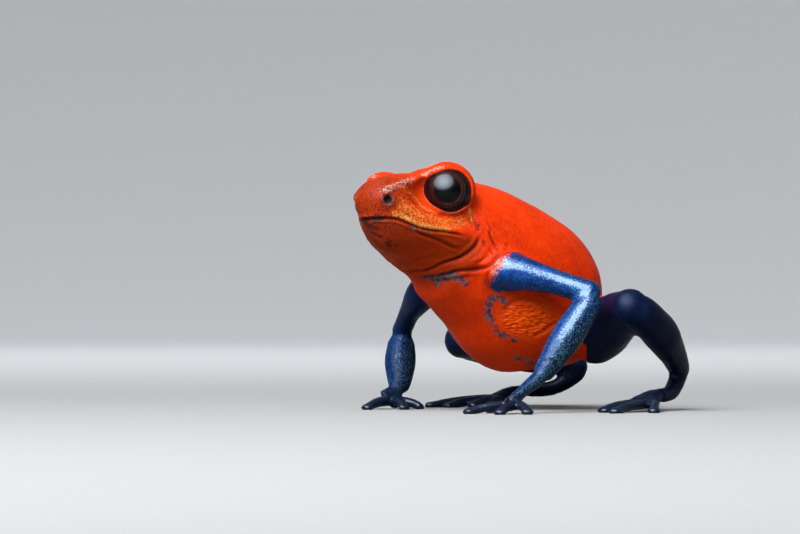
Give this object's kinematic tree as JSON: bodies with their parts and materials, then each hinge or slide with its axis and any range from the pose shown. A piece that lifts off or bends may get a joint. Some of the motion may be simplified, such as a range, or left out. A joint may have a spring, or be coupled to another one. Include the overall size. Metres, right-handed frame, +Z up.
{
  "type": "strawberry poison dart frog model",
  "caption": "Still life-size model of a strawberry poison dart frog, sitting upright with its head raised, red body and blue legs, resting on its finger and toe tips.",
  "frame": {"origin": "on the floor below the middle of the frog's bounding box", "axes": "+Z up; the trunk faces -Y; the frog's left side is +X"},
  "size_m": [0.0198, 0.0198, 0.0141],
  "materials": {
    "red_skin": "orange-red skin, finely granular, moist satin sheen, golden speckle on the lips",
    "blue_skin": "saturated blue skin, finely granular, speckled with black, pale cyan where the light catches it",
    "dark_skin": "blue-black glossy skin of the fingers and toes, with darker tip discs",
    "eye": "wet glossy eye, black pupil in a very dark brown iris"
  },
  "bodies": {
    "root": {"trunk": "red_skin", "head": "red_skin", "eye_left": "eye", "eye_right": "eye", "upper_arm_left": "blue_skin", "forearm_left": "blue_skin", "hand_left": "blue_skin", "finger_1_left": "dark_skin", "finger_2_left": "dark_skin", "finger_3_left": "dark_skin", "finger_4_left": "dark_skin", "thigh_left": "blue_skin", "shank_left": "blue_skin", "tarsus_left": "blue_skin", "foot_left": "blue_skin", "toe_1_left": "dark_skin", "toe_2_left": "dark_skin", "toe_3_left": "dark_skin", "toe_4_left": "dark_skin", "toe_5_left": "dark_skin", "upper_arm_right": "blue_skin", "forearm_right": "blue_skin", "hand_right": "blue_skin", "finger_1_right": "dark_skin", "finger_2_right": "dark_skin", "finger_3_right": "dark_skin", "finger_4_right": "dark_skin", "thigh_right": "blue_skin", "shank_right": "blue_skin", "tarsus_right": "blue_skin", "foot_right": "blue_skin", "toe_1_right": "dark_skin", "toe_2_right": "dark_skin", "toe_3_right": "dark_skin", "toe_4_right": "dark_skin", "toe_5_right": "dark_skin"}
  },
  "joints": []
}
